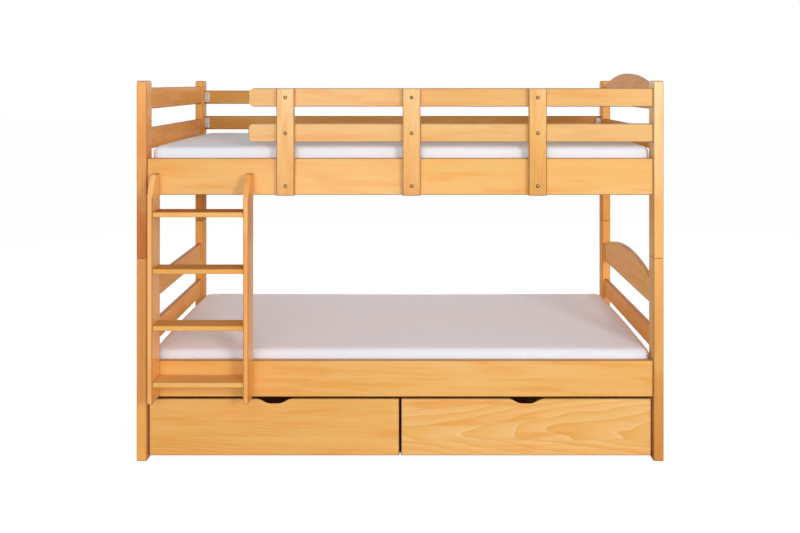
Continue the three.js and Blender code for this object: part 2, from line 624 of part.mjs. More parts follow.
drawer("left", LEFT + DRAWER_POST_GAP);
drawer("right", RIGHT - DRAWER_POST_GAP - DRAWER_FRONT_WIDTH);

export default bed;
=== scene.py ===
# %% [markdown]
# # A bunk bed in lacquered wood
#
# The bed comes as a frame of 59 plain solids, each a real piece: posts, rails, boards, slats,
# mattresses, ladder and drawers. This lesson gives each of them its finish, dresses the two
# mattresses in fitted sheets, adds the screws, bolts and corner brackets that are too small for the
# frame, and sets a pale studio round it. All lengths are in metres. x runs along the bed, y from
# its front to its back, and z up from the floor.

# %% Load the bed
import math

import bmesh
import bpy
import numpy as np
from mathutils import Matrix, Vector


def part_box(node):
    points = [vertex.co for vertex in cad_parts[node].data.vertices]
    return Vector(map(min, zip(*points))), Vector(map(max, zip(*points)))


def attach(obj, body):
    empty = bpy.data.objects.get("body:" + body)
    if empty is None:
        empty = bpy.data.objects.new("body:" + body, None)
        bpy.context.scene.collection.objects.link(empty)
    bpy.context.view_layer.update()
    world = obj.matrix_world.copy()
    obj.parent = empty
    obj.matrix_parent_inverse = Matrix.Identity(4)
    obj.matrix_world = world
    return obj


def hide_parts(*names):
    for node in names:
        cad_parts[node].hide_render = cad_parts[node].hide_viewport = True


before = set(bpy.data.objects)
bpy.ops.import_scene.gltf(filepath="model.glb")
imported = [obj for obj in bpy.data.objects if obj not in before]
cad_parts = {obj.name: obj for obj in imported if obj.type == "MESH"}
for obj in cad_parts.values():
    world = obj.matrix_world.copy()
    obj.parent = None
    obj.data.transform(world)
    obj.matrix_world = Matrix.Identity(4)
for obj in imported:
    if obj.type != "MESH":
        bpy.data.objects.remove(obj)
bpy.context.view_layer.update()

MM = 0.001
X_AXIS, Y_AXIS, Z_AXIS = 0, 1, 2


def corners(node):
    """The lowest and the highest corner of a piece of the frame, as arrays."""
    low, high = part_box(node)
    return np.array(low), np.array(high)


# %% [markdown]
# ## Camera
#
# The bed was photographed square on, from a standing person's eye height and 3.3 m in front of the
# posts. The camera was level, so upright edges stay upright, and the picture was framed lower than
# the horizon by shifting the lens. A tilted camera would make the posts lean, so the shift is used
# here too. Pixels of the photograph become lens units through its width.

# %% Place the camera
IMAGE_WIDTH = 800
IMAGE_HEIGHT = 533
FOCAL_PIXELS = 842.7
HORIZON_ROW = 82.0
AXIS_COLUMN = 412.70
CAMERA_TO_POSTS = 3.323
CAMERA_RIGHT = 0.0495
CAMERA_HEIGHT = 1.4945
SENSOR_WIDTH = 36.0
POSTS_FRONT = corners("post_lower_front_left")[0][Y_AXIS]
LEVEL = math.radians(90)

scene = bpy.context.scene
lens = bpy.data.cameras.new("camera")
lens.sensor_width = SENSOR_WIDTH
lens.lens = FOCAL_PIXELS * SENSOR_WIDTH / IMAGE_WIDTH
lens.shift_x = (IMAGE_WIDTH / 2 - AXIS_COLUMN) / IMAGE_WIDTH
lens.shift_y = (HORIZON_ROW - IMAGE_HEIGHT / 2) / IMAGE_WIDTH
camera = bpy.data.objects.new("camera", lens)
camera.location = (CAMERA_RIGHT, POSTS_FRONT - CAMERA_TO_POSTS, CAMERA_HEIGHT)
camera.rotation_euler = (LEVEL, 0, 0)
scene.collection.objects.link(camera)
scene.camera = camera
print("lens", round(lens.lens, 2), "mm, shift", round(lens.shift_x, 4), round(lens.shift_y, 4))

# %% [markdown]
# ## Shader sums
#
# A finish is worked out from numbers that vary over a surface, such as the distance to the middle
# of the tree. Wiring each sum by hand hides it, so a small class wraps a socket and adds a Math
# node for each operator. A second class holds one material and adds every other kind of node.

# %% A socket that can be added and multiplied


class Field:
    """A number that varies over a surface. An expression on it adds Math nodes to its finish."""

    def __init__(self, finish, socket):
        self.finish = finish
        self.socket = socket

    def math(self, operation, *terms):
        return self.finish.node("ShaderNodeMath", {"operation": operation}, terms)

    def __add__(self, other):
        return self.math("ADD", self, other)

    def __mul__(self, other):
        return self.math("MULTIPLY", self, other)

    def __sub__(self, other):
        return self.math("SUBTRACT", self, other)

    def __rsub__(self, other):
        return self.math("SUBTRACT", other, self)

    def __truediv__(self, other):
        return self.math("DIVIDE", self, other)

    def __pow__(self, other):
        return self.math("POWER", self, other)

    __radd__ = __add__
    __rmul__ = __mul__

    def absolute(self):
        return self.math("ABSOLUTE", self)

    def whole(self):
        return self.math("FLOOR", self)

    def fraction(self):
        return self.math("FRACT", self)

    def larger(self, other):
        return self.math("MAXIMUM", self, other)

    def smaller(self, other):
        return self.math("MINIMUM", self, other)

    def sine(self):
        return self.math("SINE", self)


class Finish:
    """One material. Constants are set on the shader itself, what varies is linked by surface()."""

    def __init__(self, name, **constants):
        self.material = bpy.data.materials.new(name)
        self.material.use_nodes = True
        self.tree = self.material.node_tree
        self.shader = self.tree.nodes["Principled BSDF"]
        for socket, value in constants.items():
            self.shader.inputs[socket.replace("_", " ")].default_value = value

    def node(self, kind, settings=None, inputs=(), output=0):
        """Adds a node, makes its settings, then gives each input a number, a colour or a link."""
        made = self.tree.nodes.new(kind)
        for key, value in (settings or {}).items():
            if key == "stops":
                ramp = made.color_ramp
                while len(ramp.elements) < len(value):
                    ramp.elements.new(1.0)
                for element, (position, colour) in zip(ramp.elements, value):
                    element.position = position
                    element.color = colour
            else:
                setattr(made, key, value)
        pairs = inputs.items() if isinstance(inputs, dict) else enumerate(inputs)
        for key, value in pairs:
            if isinstance(value, Field):
                self.tree.links.new(value.socket, made.inputs[key])
            else:
                made.inputs[key].default_value = value
        return Field(self, made.outputs[output])

    def place(self, origin=(0, 0, 0)):
        """Object coordinates counted from an origin, as one vector."""
        where = self.node("ShaderNodeTexCoord", output="Object")
        shift = [-float(v) for v in origin]
        return self.node("ShaderNodeMapping", None, {"Vector": where, "Location": shift})

    def split(self, vector):
        """The three components of a vector."""
        first = self.node("ShaderNodeSeparateXYZ", None, [vector])
        return [Field(self, socket) for socket in first.socket.node.outputs]

    def join(self, x, y, z):
        """A vector made of three numbers."""
        return self.node("ShaderNodeCombineXYZ", None, [x, y, z])

    def cloud(self, vector, scale=1.0, detail=2.0, roughness=0.5):
        """Soft noise from 0 to 1, about 0.5 on the whole."""
        inputs = {"Vector": vector, "Scale": scale, "Detail": detail, "Roughness": roughness}
        return self.node("ShaderNodeTexNoise", {"noise_dimensions": "3D"}, inputs)

    def facing(self):
        """The surface's own direction, as its three components."""
        return self.split(self.node("ShaderNodeTexCoord", output="Normal"))

    def step(self, value, start, end):
        """Rises smoothly from 0 at start to 1 at end."""
        inputs = {"Value": value, "From Min": start, "From Max": end}
        return self.node("ShaderNodeMapRange", {"interpolation_type": "SMOOTHSTEP"}, inputs)

    def ramp(self, value, stops):
        """A colour picked from stops by a number."""
        return self.node("ShaderNodeValToRGB", {"stops": stops}, [value])

    def blend(self, share, colour, other):
        """A colour that turns from one to the other as share goes from 0 to 1."""
        return self.node("ShaderNodeMix", {"data_type": "RGBA"}, {0: share, 6: colour, 7: other}, 2)

    def surface(self, colour=None, roughness=None, height=None, depth=0.0003, strength=0.3):
        """Links what varies to the shader: its colour, its roughness and its relief."""
        if colour is not None:
            self.tree.links.new(colour.socket, self.shader.inputs["Base Color"])
        if roughness is not None:
            self.tree.links.new(roughness.socket, self.shader.inputs["Roughness"])
        if height is not None:
            inputs = {"Height": height, "Distance": depth, "Strength": strength}
            bump = self.node("ShaderNodeBump", None, inputs)
            self.tree.links.new(bump.socket, self.shader.inputs["Normal"])
        return self.material


def paint(red, green, blue):
    """A colour written as on a screen, 0 to 255, turned into the light that it stands for."""
    share = np.array([red, green, blue]) / 255.0
    light = np.where(share <= 0.04045, share / 12.92, ((share + 0.055) / 1.055) ** 2.4)
    return (*light.tolist(), 1.0)


print("shader helpers are ready")

# %% [markdown]
# ## Lacquered wood
#
# The boards are a pale hardwood with fine, quiet grain under a satin, honey-coloured lacquer. A
# picture of wood wrapped round each board would not match at its edges. Real figure is a slice
# through a tree, so the growth rings are worked out in space: each ring is a tube round the middle
# of the tree, which lies behind the board. A slice close to it shows arches, a slice far from it
# shows straight lines, and the sawn end shows curves, all from one formula. Wide boards are glued
# from staves, and each stave gets its own tree. Each board has its own material, so that no two
# are cut from the same place.

# %% Wood from a tree
LACQUERED = [(0.0, paint(248, 206, 146)), (0.5, paint(240, 179, 94)), (1.0, paint(206, 130, 56))]
# A shaded copy of the lacquer, redder and warmer: painted shade for pieces in the shade of other
# wood.
SHADED_REDDER = [(0.0, paint(255, 206, 134)), (0.5, paint(250, 176, 94)), (1.0, paint(220, 128, 54))]
SHADY = [(0.0, paint(255, 206, 134)), (0.5, paint(248, 174, 94)), (1.0, paint(190, 106, 50))]
AMBER = paint(236, 152, 56)
STRAW = paint(232, 190, 108)
END_SHADE = paint(168, 96, 40)
# Painted shade: a dark colour laid along every edge of a board, in a band this wide.
PAINTED_EDGE_SHADE = paint(112, 62, 24)
PAINTED_EDGE_BAND = 0.0048
# Painted shade: the colour that faces of a board that look up are darkened towards.
PAINTED_TOP_SHADE = paint(162, 80, 26)
BLACK = (0.0, 0.0, 0.0, 1.0)

# Cells of noise to the metre along, across and through the grain.
FIBRES, FLECKS, PATCHES = (7.0, 240, 240), (120, 800, 420), (1.3, 7.0, 7.0)
STREAKS, BLOOMS = (3.0, 26.0, 12.0), (5.0, 18.0, 9.0)
BENDS_ALONG, BENDS_ACROSS = 2.2, 9.0

# How deep the colour is on the whole, and how much each part of the figure adds to it.
MIDDLE_DEPTH, DECADE_SHARE, YEAR_SHARE = 0.42, 0.9, 0.8
FIBRE_SHARE, PATCH_SHARE, DASH_SHARE, STAVE_SHARE = 0.22, 0.45, 0.1, 0.16

# How far the middle of the tree strays from stave to stave, across and through the board.
STRAY_ACROSS, STRAY_THROUGH = 0.08, 0.05
DECADES = 0.31
SHARP = 12


def wood(name, node, tone=0.0, fade=0.0, stave=None, first_stave=None, heart=0.09, taper=0.03,
         ring=0.006, figure=0.12, sway=0.03, top_shade=0.55, top=PAINTED_TOP_SHADE, gloss=0.32,
         stops=LACQUERED, streaks=0.5, painted_edge_shade=0.95, edge_band=PAINTED_EDGE_BAND, dim=0.0, aside=0.0,
         **shader):
    """A board cut from a tree.

    Grain runs along the board's longest side, and its broad face looks along its shortest. The
    distance to the tree's middle is sqrt((across + aside)^2 + (through + heart)^2), plus a taper
    that grows along the board and a slow sway. Its fraction in ring widths darkens each year, and a
    thin pale line starts the next. Tone deepens the whole board, and fade is what the tone gains
    from the board's low end to its high end. A narrow band along every edge is darkened, a painted
    shade. Faces that look up are blended towards the top's colour, a painted shade, and dim is
    painted shade too: the share of the colour that is taken away at the end.
    """
    low, high = corners(node)
    size = high - low
    grain, face = int(np.argmax(size)), int(np.argmin(size))
    broad = 3 - grain - face
    half_grain, half_broad, half_face = size[grain] / 2, size[broad] / 2, size[face] / 2
    seed = int(sum(ord(letter) * (i + 1) for i, letter in enumerate(node)))
    luck = np.random.default_rng(seed).random(4)

    finish = Finish(name, **{"Roughness": 0.36, "Specular_IOR_Level": 0.35, "Coat_Weight": 0.3,
                             "Coat_Roughness": 0.18, **shader})
    parts = finish.split(finish.place((low + high) / 2))
    along, across, through = parts[grain], parts[broad], parts[face]

    if stave:
        first = stave if first_stave is None else first_stave
        strip = ((across + (half_broad + stave - first)) / stave).whole()
        draw = finish.node("ShaderNodeTexWhiteNoise", {"noise_dimensions": "1D"},
                           {"W": strip * 3.71 + luck[0] * 50}, "Color")
        offset, deeper, shade = finish.split(draw)
    else:
        strip, offset, deeper, shade = 0.0, luck[0], luck[1], luck[2]

    def cells(counts, *shifts):
        """A place in the board counted in cells of noise, moved by a shift on each side."""
        terms = zip((along, across, through), counts, shifts)
        return finish.join(*[part * count + shift for part, count, shift in terms])

    far = luck[3] * 40
    bends = finish.join(along * BENDS_ALONG, across * BENDS_ACROSS, strip * 5.0 + far)
    bend = finish.cloud(bends, 1.0, 2.0) - 0.5
    level = across + offset * STRAY_ACROSS + (aside - STRAY_ACROSS / 2)
    below = through + deeper * STRAY_THROUGH + heart
    radius = (level * level + below * below) ** 0.5
    age = (radius + along * taper + bend * sway) / ring
    year = age.fraction()
    late = year * year - (1 - year) ** SHARP
    decade = finish.node("ShaderNodeTexNoise", {"noise_dimensions": "1D"},
                         {"W": age * DECADES + far, "Scale": 1.0, "Detail": 2.0})
    fibre = finish.cloud(cells(FIBRES, far, 0.0, 0.0), 1.0, 2.0)
    fleck = finish.cloud(cells(FLECKS, 0.0, far, 0.0), 1.0, 0.0)
    dash = finish.step(fleck, 0.66, 0.78)
    patch = finish.cloud(cells(PATCHES, 0.0, strip * 9.0, far), 1.0, 1.0)

    depth = (MIDDLE_DEPTH + tone + (decade - 0.5) * (DECADE_SHARE * figure)
             + (late - 0.25) * (YEAR_SHARE * figure) + (fibre - 0.5) * FIBRE_SHARE
             + (patch - 0.5) * PATCH_SHARE + dash * DASH_SHARE)
    depth = depth + (shade - 0.5) * STAVE_SHARE + along * (fade / float(size[grain]))
    colour = finish.ramp(depth, stops)
    if streaks:
        streak = finish.step(finish.cloud(cells(STREAKS, far, strip * 4.0, 0.0)), 0.5, 0.72)
        colour = finish.blend(streak * streaks, colour, AMBER)
        bloom = finish.step(finish.cloud(cells(BLOOMS, 0.0, strip * 7.0, far)), 0.52, 0.75)
        colour = finish.blend(bloom * (0.8 * streaks), colour, STRAW)

    # Painted shade: the colour darkens within a narrow band along every edge.
    past = [along.absolute() - half_grain, across.absolute() - half_broad,
            through.absolute() - half_face]
    pairs = [past[0].smaller(past[1]), past[1].smaller(past[2]), past[2].smaller(past[0])]
    edge = finish.step(pairs[0].larger(pairs[1]).larger(pairs[2]), -edge_band, 0.0)
    colour = finish.blend(edge * painted_edge_shade, colour, PAINTED_EDGE_SHADE)
    facing = finish.facing()
    colour = finish.blend(finish.step(facing[grain].absolute(), 0.6, 0.9) * 0.35, colour, END_SHADE)
    # Painted shade on the faces that look up.
    if top_shade:
        colour = finish.blend(finish.step(facing[Z_AXIS], 0.6, 0.9) * top_shade, colour, top)
    # Painted shade: a share of the colour is taken away.
    if dim:
        colour = finish.blend(dim, colour, BLACK)
    relief = fibre * 0.7 + late * 0.3 - dash * 0.4
    return finish.surface(colour, fibre * 0.12 + gloss, relief, 0.0002, 0.25)


def dress(node, material):
    """Gives a piece of the frame its material."""
    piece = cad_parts[node]
    piece.data.materials.clear()
    piece.data.materials.append(material)
    return piece


print("wood is ready")

# %% [markdown]
# ## Which board is how deep
#
# Lacquered boards of one bed differ, and the photograph shows by how much. TONES and FADES give a
# board's depth and how it changes from end to end. They hold real differences between boards and
# painted light too: the paler front guard and the paler tops of the posts and uprights stand in
# part for sheen, and the deeper back guards for shade. The guards are dimmed by painted shade, for
# what they lose in light. The pieces at the ends and the back are deepened by painted shade, and
# they, the stiles, the end rails and the front left posts get redder stops, a shaded copy of the
# lacquer. The treads are worn matt, and their tops get painted shade, darker the higher a tread is.

# %% Wood for the frame, the guards and the ladder
SIDES = ("left", "right")
BEDS = ("lower", "upper")
TONES = {
    "post_upper_front_left": 0.38, "post_lower_front_left": 0.1, "post_lower_front_right": 0.32,
    "post_upper_front_right": -0.15, "lower_front_rail": 0.06, "guard_front_top_rail": 0.02,
    "guard_front_low_rail": -0.12, "guard_upright_1": -0.06, "guard_upright_2": 0.0,
    "guard_upright_3": 0.16, "ladder_stile_left": -0.02, "ladder_stile_right": 0.16,
    "guard_back_low_rail": 0.28, "guard_back_top_rail": 0.3, "lower_right_arch_board": 0.0,
    "post_upper_back_left": 0.3, "ladder_tread_1": -0.06, "ladder_tread_2": -0.05,
    "ladder_tread_3": 0.1, "ladder_tread_4": -0.06,
}
# The paler tops of posts and uprights here are partly painted sheen.
FADES = {
    "post_upper_front_left": -0.45, "post_lower_front_left": 0.1, "post_upper_front_right": -0.4,
    "post_lower_front_right": -0.5, "guard_upright": -0.4, "post_upper_back_left": -0.6,
}
# Painted shade on the guards, for the light they lose.
PAINTED_DIMS = {"guard_front": 0.09, "guard_upright": 0.05, "guard_back_low": 0.25, "guard_back_top": 0.15}
# Pieces whose names hold these get the redder, shaded copy of the lacquer.
SHADED_RED_PARTS = ("_board", "_back_", "stile", "end_rail", "_front_left")
STRAIGHT = 0.14
# How much painted edge shade wide and narrow pieces get.
WIDE_EDGE, NARROW_EDGE = 0.95, 0.7
# How much painted shade most boards get on the faces that look up.
PAINTED_TOP_SHARE = 0.55
# Painted shade: how much deeper the pieces at the ends and the back are.
DEEPER_IN_SHADE = {"_tread_": 0.02, "arch_board": 0.08, "_board": 0.18, "_back_": 0.08, "end_rail": 0.15}
SHELTERED = {"Coat_Weight": 0.06, "Specular_IOR_Level": 0.12}
MATT = {"Coat_Weight": 0.0, "Specular_IOR_Level": 0.03, "gloss": 0.5, "edge_band": 0.0026}
# Painted shade on the tread tops, darker the higher the tread.
PAINTED_TREAD_TOP_SHADE = {"ladder_tread_1": 0.04, "ladder_tread_2": 0.32, "ladder_tread_3": 0.36,
              "ladder_tread_4": 0.72}
STAVES = {"front_rail": 0.073, "back_rail": 0.073, "arch_board": 0.075, "stile": 0.052}


def listed(table, node, otherwise):
    """What a table says of the first part of a name that it holds and the node has."""
    return next((value for part, value in table.items() if part in node), otherwise)


boards = [node for node in sorted(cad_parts)
          if node.startswith(("post_", "guard_", "ladder_")) or node.endswith(("_rail", "_board"))]
for node in boards:
    guard = node.startswith("guard_")
    deeper = listed(DEEPER_IN_SHADE, node, None)
    red = not guard and any(part in node for part in SHADED_RED_PARTS)
    stops = SHADY if node == "post_upper_back_left" else SHADED_REDDER if red else LACQUERED
    dull = MATT if "_tread_" in node else {} if deeper is None else SHELTERED
    dress(node, wood("wood_" + node, node, tone=TONES.get(node, deeper or 0.0), stops=stops,
                     fade=listed(FADES, node, 0.0), dim=listed(PAINTED_DIMS, node, 0.0),
                     stave=None if guard else listed(STAVES, node, None),
                     top_shade=PAINTED_TREAD_TOP_SHADE.get(node, PAINTED_TOP_SHARE),
                     aside=STRAIGHT if node.endswith("_rail") else 0.0,
                     painted_edge_shade=NARROW_EDGE if node.startswith(("ladder_", "post_")) else WIDE_EDGE,
                     **dull))
print(len(boards), "boards in lacquered wood")

# %% [markdown]
# ## Drawers
#
# The drawers' fronts are the widest boards of the bed. The right one is cut close to the middle of
# its tree and shows flame-like arches that point to the left; the left one is quieter. The sides
# and backs are the same wood, the bottoms are thin panels, and everything behind the fronts is
# seen only when a drawer is out.

# %% Wood and panels for the drawers
# Painted shadow: the faces of each front that look up, its top edge and the floor of its scoop,
# turn almost black, for the shade under the rail.
PAINTED_DRAWER_SHADOW = {"top": paint(40, 20, 8), "top_shade": 0.95}
FRONTS = {
    "left": {"stave": 0.076, "heart": 0.1, "figure": 0.15, "ring": 0.007, "sway": 0.02,
             "aside": STRAIGHT},
    "right": {"tone": -0.1, "stave": 0.165, "first_stave": 0.060, "heart": 0.03, "taper": -0.11,
              "figure": 0.3, "ring": 0.022, "sway": 0.06},
}

for side in SIDES:
    node = f"drawer_{side}_front"
    dress(node, wood("wood_" + node, node, **FRONTS[side], **PAINTED_DRAWER_SHADOW))
    for part in ("side_left", "side_right", "back"):
        node = f"drawer_{side}_{part}"
        dress(node, wood("wood_" + node, node, tone=-0.05, stave=0.07))

PANEL = [(0.0, paint(236, 214, 178)), (0.5, paint(224, 198, 156)), (1.0, paint(204, 172, 126))]
for side in SIDES:
    node = f"drawer_{side}_bottom"
    panel = wood("panel_" + node, node, figure=0.6, stops=PANEL, streaks=0.0, Coat_Weight=0.1)
    dress(node, panel)
print("drawers are dressed")

# %% [markdown]
# ## Slatted bases
#
# The slats are planed softwood without lacquer, tied by two woven straps. They are one piece with
# their straps in the frame and share one finish, because the straps lie under the slats, where a
# mattress hides them. The slat that a point is in comes from its place along the bed.

# %% Planed slats
PLANED = [(0.0, paint(246, 226, 188)), (0.5, paint(232, 204, 156)), (1.0, paint(206, 168, 112))]
SLATS = 14


def slats(node):
    """Bare wood whose grain runs across the bed, with another piece of the tree for each slat."""
    low, high = corners(node)
    finish = Finish("planed_" + node, Roughness=0.62, Coat_Weight=0.0)
    along, grain, height = finish.split(finish.place(low))
    slat = (along * float(SLATS) / float(high[X_AXIS] - low[X_AXIS])).whole()
    fibre = finish.cloud(finish.join(grain * 6.0, along * 230, slat * 3.3 + height * 200), 1.0, 2.0)
    rings = finish.cloud(finish.join(grain * 0.8, along * 45, slat * 7.7 + height * 30), 1.0, 3.0)
    colour = finish.ramp(0.45 + (fibre - 0.5) * 0.5 + (rings - 0.5) * 0.9, PLANED)
    return finish.surface(colour, fibre * 0.1 + 0.58, fibre, 0.0003, 0.3)


for bed in BEDS:
    dress(f"{bed}_slatted_base", slats(f"{bed}_slatted_base"))
print("slatted bases are dressed")

# %% [markdown]
# ## Mattresses in fitted sheets
#
# Each bed holds a foam mattress in a white fitted sheet that is drawn tight round it. The frame
# has a plain crowned solid for it. Its copy is cut into even cells that are laid back on the
# solid's faces, then blown up a little as cloth, so that its faces swell and its edges round off
# as foam under a stretched sheet does. Then come the slight pulls of the sheet from the corners
# and along the edges.

# %% Cotton
THREAD_PITCH = 0.0011


def cotton(name, top):
    """White cotton: a fine plain weave, warp and weft as two sines, and a faint unevenness. Its
    upward face turns to the top's colour, painted light that holds the glow of the wood round it."""
    finish = Finish(name, Roughness=0.88, Sheen_Weight=0.25, Sheen_Roughness=0.5)
    x, y, z = finish.split(finish.place())
    thread = 2 * math.pi / THREAD_PITCH
    weave = ((x + z) * thread).sine() * ((y + z) * thread).sine()
    cloud = finish.cloud(finish.join(x * 3, y * 3, z * 3), 1.0, 3.0)
    stops = [(0.0, paint(232, 235, 244)), (1.0, paint(241, 243, 251))]
    colour = finish.ramp(cloud + weave * 0.04, stops)
    # Painted light on the upward face.
    colour = finish.blend(finish.step(finish.facing()[Z_AXIS], 0.5, 0.95), colour, top)
    return finish.surface(colour, cloud * 0.08 + 0.82, weave + cloud * 2.0, 0.0002, 0.2)


# The top colours are painted light: the lower one brighter and warmer, for the glow of the wood
# round it.
SHEETS = {"lower": cotton("lower_sheet", paint(247, 241, 248)),
          "upper": cotton("upper_sheet", paint(238, 240, 246))}
print("cotton is ready")

# %% The mattress as cloth
VOXEL = 0.014
SHRINK = 0.001
SWELL = 0.002
LIES_RIGHT = 0.006
CLOTH_FRAMES = 20
PRESSURE = 4.0


def points_of(mesh):
    """A mesh's points as an array of n rows."""
    flat = np.empty(len(mesh.vertices) * 3, np.float64)
    mesh.vertices.foreach_get("co", flat)
    return flat.reshape(-1, 3)


def move_points(mesh, points):
    """Puts an array of points back into its mesh."""
    mesh.vertices.foreach_set("co", points.ravel())
    mesh.update()


def applied(piece):
    """The piece with its modifiers applied, evaluated as it stands."""
    depsgraph = bpy.context.evaluated_depsgraph_get()
    mesh = bpy.data.meshes.new_from_object(piece.evaluated_get(depsgraph))
    piece.modifiers.clear()
    piece.data = mesh
    return mesh


def even_cells(name, node):
    """A merged copy of a solid, remade of even square cells on its faces and a little smaller."""
    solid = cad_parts[node]
    mesh = solid.data.copy()
    merged = bmesh.new()
    merged.from_mesh(mesh)
    bmesh.ops.remove_doubles(merged, verts=merged.verts, dist=1e-5)
    merged.to_mesh(mesh)
    merged.free()
    mesh.materials.clear()
    piece = bpy.data.objects.new(name, mesh)
    scene.collection.objects.link(piece)
    remesh = piece.modifiers.new("cells", "REMESH")
    remesh.mode = "VOXEL"
    remesh.voxel_size = VOXEL
    piece.modifiers.new("on the solid", "SHRINKWRAP").target = solid
    points = points_of(applied(piece))
    middle = (points.min(0) + points.max(0)) / 2
    half = (points.max(0) - points.min(0)) / 2
    move_points(piece.data, middle + (points - middle) * (1 - SHRINK / half))
    return piece


def inflate(piece):
    """Blows a closed piece up as cloth, and caps how far each point has moved."""
    start = points_of(piece.data)
    cloth = piece.modifiers.new("cloth", "CLOTH")
    cloth.settings.quality = 5
    cloth.settings.mass = 0.3
    cloth.settings.use_pressure = True
    cloth.settings.uniform_pressure_force = PRESSURE
    cloth.settings.effector_weights.gravity = 0.0
    cloth.point_cache.frame_start = 1
    cloth.point_cache.frame_end = CLOTH_FRAMES
    for number in range(1, CLOTH_FRAMES + 1):
        scene.frame_set(number)
    blown = points_of(applied(piece))
    scene.frame_set(1)
    move = blown - start
    length = np.linalg.norm(move, axis=1, keepdims=True)
    move_points(piece.data, start + move * np.minimum(1.0, SWELL / np.maximum(length, 1e-9)))
    return length.max()


FAN_DEPTH, FAN_REACH, FAN_WIDTH, FAN_FOLDS = 0.0011, 0.09, 0.07, 14
DENT_DEPTH, DENT_WIDTH, SLOW_DEPTH = 0.0006, 0.05, 0.0012
CORNER = 0.03


def sheet_pulls(points, low, high, seed):
    """How far each point is lifted or sunk where the sheet is pulled.

    Folds fan out from each corner: FAN_DEPTH * bell(distance from the corner) * sin(FAN_FOLDS *
    angle). Dents along the edges and slow waves over the whole top are products of two sines.
    """
    middle, half = (low + high) / 2, (high - low) / 2
    x, y = points[:, X_AXIS] - middle[X_AXIS], points[:, Y_AXIS] - middle[Y_AXIS]
    to_x, to_y = half[X_AXIS] - np.abs(x), half[Y_AXIS] - np.abs(y)
    angle = np.arctan2(to_y + CORNER, to_x + CORNER)
    bell = np.exp(-((np.hypot(to_x, to_y) - FAN_REACH) / FAN_WIDTH) ** 2)
    fan = FAN_DEPTH * bell * np.sin(FAN_FOLDS * angle + seed + np.sign(x) + 2 * np.sign(y))
    edge = DENT_DEPTH * np.exp(-np.minimum(to_x, to_y) / DENT_WIDTH)
    dent = edge * (np.sin(x / 0.045 + seed) * np.sin(x / 0.173) + np.sin(y / 0.05 + seed))
    slow = SLOW_DEPTH * np.sin(x / 0.31 + seed) * np.sin(y / 0.23 + 2 * seed)
    return fan + dent + slow


def made_up(bed, seed):
    """A mattress in its sheet, inside the space of its solid."""
    node = f"{bed}_mattress"
    low, high = corners(node)
    piece = even_cells(f"{bed}_sheeted_mattress", node)
    moved = inflate(piece)
    low[X_AXIS] += LIES_RIGHT
    points = points_of(piece.data)
    least, most = points.min(0), points.max(0)
    points = low + (points - least) / (most - least) * (high - low)
    rise = (points[:, Z_AXIS] - low[Z_AXIS]) / (high[Z_AXIS] - low[Z_AXIS])
    points[:, Z_AXIS] += np.clip(rise, 0, 1) ** 2 * sheet_pulls(points, low, high, seed)
    move_points(piece.data, np.clip(points, low, high))
    piece.data.shade_smooth()
    finer = piece.modifiers.new("finer", "SUBSURF")
    finer.levels = finer.render_levels = 1
    piece.data.materials.append(SHEETS[bed])
    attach(piece, "bed_frame")
    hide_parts(node)
    print(piece.name, len(piece.data.polygons), "cells, largest move", round(float(moved), 4))
    return piece


for bed, seed in zip(BEDS, (1.3, 2.3)):
    made_up(bed, seed)

# %% [markdown]
# ## Small turned and moulded pieces
#
# Screws, bolts and brackets are too many for the frame, but they are what shows that the bed is
# screwed together. Each is a surface on a grid of points: rows along a profile, columns around it.
# One helper turns such a grid into a closed mesh, merges the points that meet at a pole, and makes
# its faces look outwards.

# %% A closed surface from a grid
HARD_EDGE = math.radians(38)


def closed_surface(name, grid, materials, rows_of=None):
    """A mesh of a grid of points [row, column]. Columns close on themselves, and the first and last
    rows are closed by a face or meet in a point. rows_of picks a material for each row of faces."""
    rows, columns = grid.shape[:2]
    index = np.arange(rows * columns).reshape(rows, columns)
    after = np.roll(index, -1, axis=1)
    quads = np.stack([index[:-1], after[:-1], after[1:], index[1:]], axis=-1).reshape(-1, 4)
    faces = quads.tolist() + [index[0, ::-1].tolist(), index[-1].tolist()]
    mesh = bpy.data.meshes.new(name)
    mesh.from_pydata(grid.reshape(-1, 3).tolist(), [], faces)
    if rows_of is not None:
        picks = np.repeat(np.asarray(rows_of, np.int32), columns)
        picks = np.append(picks, [picks[0], picks[-1]]).astype(np.int32)
        mesh.polygons.foreach_set("material_index", picks)
    for material in materials:
        mesh.materials.append(material)
    shape = bmesh.new()
    shape.from_mesh(mesh)
    bmesh.ops.remove_doubles(shape, verts=shape.verts, dist=1e-6)
    bmesh.ops.recalc_face_normals(shape, faces=shape.faces)
    shape.to_mesh(mesh)
    shape.free()
    mesh.shade_smooth()
    mesh.set_sharp_from_angle(angle=HARD_EDGE)
    piece = bpy.data.objects.new(name, mesh)
    scene.collection.objects.link(piece)
    return piece


def turned(name, centre, outward, profile, materials, rows_of=None, hexagon=None, sides=36):
    """A piece turned round the line through centre along outward. The profile is a list of
    (radius, height) in millimetres. Rows in hexagon are drawn in to a hexagon:
    radius * cos(30 degrees) / cos(angle to the middle of its flat)."""
    outward = np.array(outward, float)
    first = np.cross(outward, (0.0, 0.0, 1.0))
    second = np.cross(outward, first)
    angle = np.linspace(0, 2 * np.pi, sides, endpoint=False)
    flat = np.cos((angle + np.pi / 6) % (np.pi / 3) - np.pi / 6)
    radius = np.array([p[0] for p in profile])[:, None] * np.ones(sides)
    for row in hexagon or ():
        radius[row] = radius[row] / flat * math.cos(math.pi / 6)
    height = np.array([p[1] for p in profile])[:, None, None]
    around = np.cos(angle)[:, None] * first + np.sin(angle)[:, None] * second
    grid = np.array(centre) + (radius[:, :, None] * around + height * outward) * MM
    return closed_surface(name, grid, materials, rows_of)


